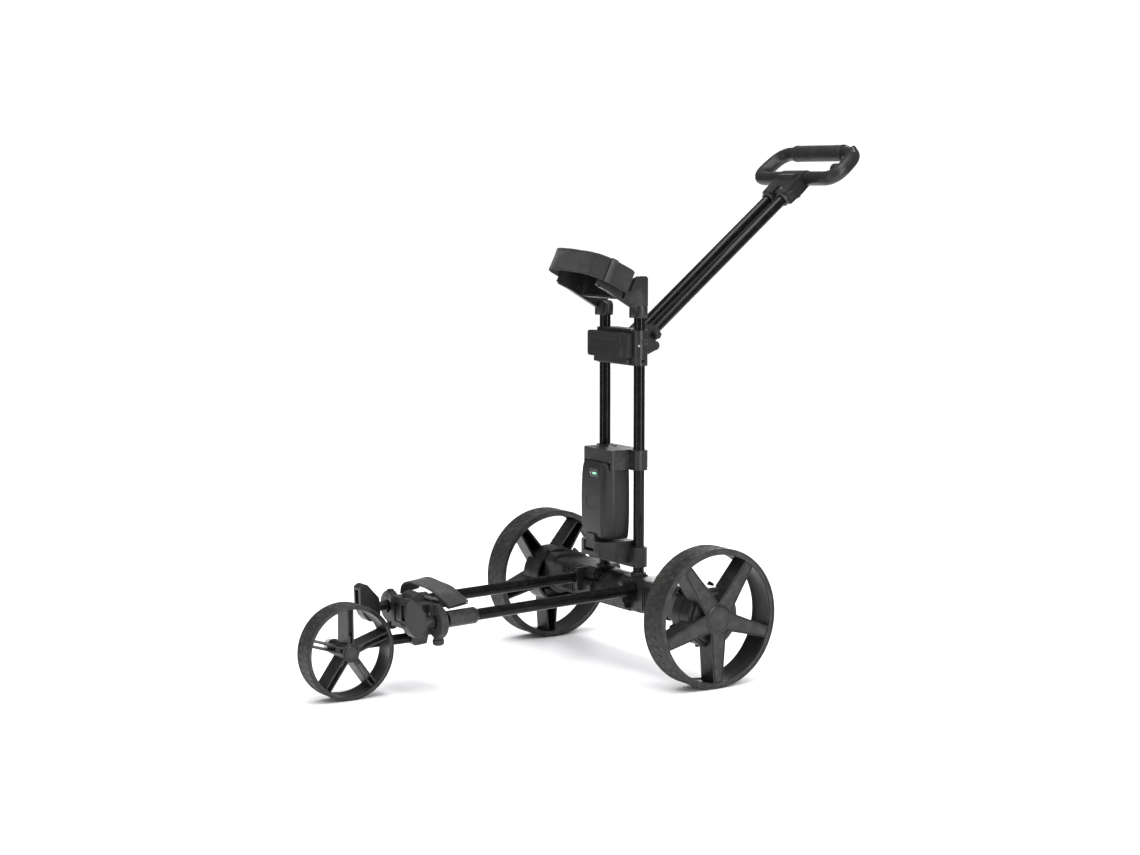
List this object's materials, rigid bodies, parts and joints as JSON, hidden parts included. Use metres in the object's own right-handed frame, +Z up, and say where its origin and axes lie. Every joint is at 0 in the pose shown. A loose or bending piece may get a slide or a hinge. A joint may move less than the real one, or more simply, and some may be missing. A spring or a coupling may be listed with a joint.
{
  "type": "electric golf push cart",
  "caption": "Folding three-wheeled electric golf push cart with twin-tube frame, upright mast, clip-in battery, bag cradle straps and a looped pulling handle.",
  "frame": {"origin": "on the floor, under the middle of the cart's outline seen from above", "axes": "+X to the cart's left, +Y toward the rear (handle), +Z up; the cart rolls forward along -Y"},
  "size_m": [0.6284, 1.23, 1.0353],
  "materials": {
    "moulded_black": "fine-grained satin black nylon",
    "black_tube": "gloss black anodised tube",
    "tyre_band": "matt, finely ribbed",
    "grip_rubber": "matt soft rubber",
    "plain_steel": "bright zinc plated",
    "webbing": "black woven nylon",
    "pale_nylon": "natural nylon",
    "indicator_green": "clear green lens",
    "motor_can": "plated steel can",
    "gloss_trim": "satin-gloss black"
  },
  "bodies": {
    "chassis": {"axle_bridge": "moulded_black", "motor_controller": "moulded_black", "front_crossmember": "moulded_black", "front_wheel_arm": "black_tube", "front_axle": "plain_steel", "front_axle_knob": "pale_nylon", "lower_strap": "webbing", "left_frame_knuckle": "moulded_black", "left_fold_pin": "plain_steel", "left_motor_housing": "moulded_black", "left_motor": "motor_can", "left_gearbox": "moulded_black", "left_base_tube": "black_tube", "left_front_sleeve": "moulded_black", "left_front_clamp": "moulded_black", "right_frame_knuckle": "moulded_black", "right_fold_pin": "plain_steel", "right_motor_housing": "moulded_black", "right_motor": "motor_can", "right_gearbox": "moulded_black", "right_base_tube": "black_tube", "right_front_sleeve": "moulded_black", "right_front_clamp": "moulded_black"},
    "left_rear_wheel": {"left_rear_tyre": "tyre_band", "left_rear_wheel": "moulded_black", "left_hub_cap": "gloss_trim", "left_axle_shaft": "plain_steel"},
    "right_rear_wheel": {"right_rear_tyre": "tyre_band", "right_rear_wheel": "moulded_black", "right_hub_cap": "gloss_trim", "right_axle_shaft": "plain_steel"},
    "front_wheel": {"front_tyre": "tyre_band", "front_wheel": "moulded_black", "front_hub_cap": "gloss_trim"},
    "left_wing": {"left_bag_wing": "moulded_black"},
    "right_wing": {"right_bag_wing": "moulded_black"},
    "mast": {"battery_dock": "moulded_black", "battery_hood": "moulded_black", "folding_block": "moulded_black", "folding_block_cover": "moulded_black", "handle_hinge_pin": "plain_steel", "cradle_saddle": "moulded_black", "upper_strap": "webbing", "strap_keeper": "moulded_black", "left_mast_tube": "black_tube", "left_mast_foot": "moulded_black", "left_cradle_bracket": "moulded_black", "right_mast_tube": "black_tube", "right_mast_foot": "moulded_black", "right_cradle_bracket": "moulded_black"},
    "battery": {"battery_pack": "moulded_black", "battery_indicator": "indicator_green"},
    "handle": {"left_handle_tube": "black_tube", "right_handle_tube": "black_tube", "handle_hinge": "moulded_black", "handle_socket": "moulded_black", "handle_loop": "moulded_black", "handle_grip": "grip_rubber"},
    "speed_dial": {"speed_dial": "moulded_black"},
    "power_button": {"power_button": "gloss_trim"}
  },
  "joints": [
    {"name": "left_wheel_roll", "type": "hinge", "parent": "chassis", "child": "left_rear_wheel", "pos_m": [0.2852, 0.1025, 0.135], "axis": [1, 0, 0], "continuous": true},
    {"name": "right_wheel_roll", "type": "hinge", "parent": "chassis", "child": "right_rear_wheel", "pos_m": [-0.2852, 0.1025, 0.135], "axis": [1, 0, 0], "continuous": true},
    {"name": "front_wheel_roll", "type": "hinge", "parent": "chassis", "child": "front_wheel", "pos_m": [-0.006, -0.525, 0.09], "axis": [1, 0, 0], "continuous": true},
    {"name": "mast_fold", "type": "hinge", "parent": "chassis", "child": "mast", "pos_m": [0, 0.0685, 0.169], "axis": [1, 0, 0], "range_deg": [0, 75]},
    {"name": "handle_fold", "type": "hinge", "parent": "mast", "child": "handle", "pos_m": [0, 0.1425, 0.6365], "axis": [1, 0, 0], "range_deg": [-115, 0]},
    {"name": "battery_slide", "type": "slide", "parent": "mast", "child": "battery", "axis": [0, -1, 0], "range_m": [0, 0.07]},
    {"name": "left_wing_turn", "type": "hinge", "parent": "chassis", "child": "left_wing", "pos_m": [0.091, -0.3975, 0.1481], "axis": [0, 0.9996, 0.027], "range_deg": [-25, 25]},
    {"name": "right_wing_turn", "type": "hinge", "parent": "chassis", "child": "right_wing", "pos_m": [-0.091, -0.3975, 0.1481], "axis": [0, 0.9996, 0.027], "range_deg": [-25, 25]},
    {"name": "speed_dial_turn", "type": "hinge", "parent": "handle", "child": "speed_dial", "pos_m": [0.101, 0.55565, 0.98455], "axis": [1, 0, 0], "range_deg": [0, 270]},
    {"name": "power_button_press", "type": "slide", "parent": "handle", "child": "power_button", "axis": [0, 0.6225, -0.7826], "range_m": [0, 0.002], "stiffness_N_per_m": 800}
  ]
}
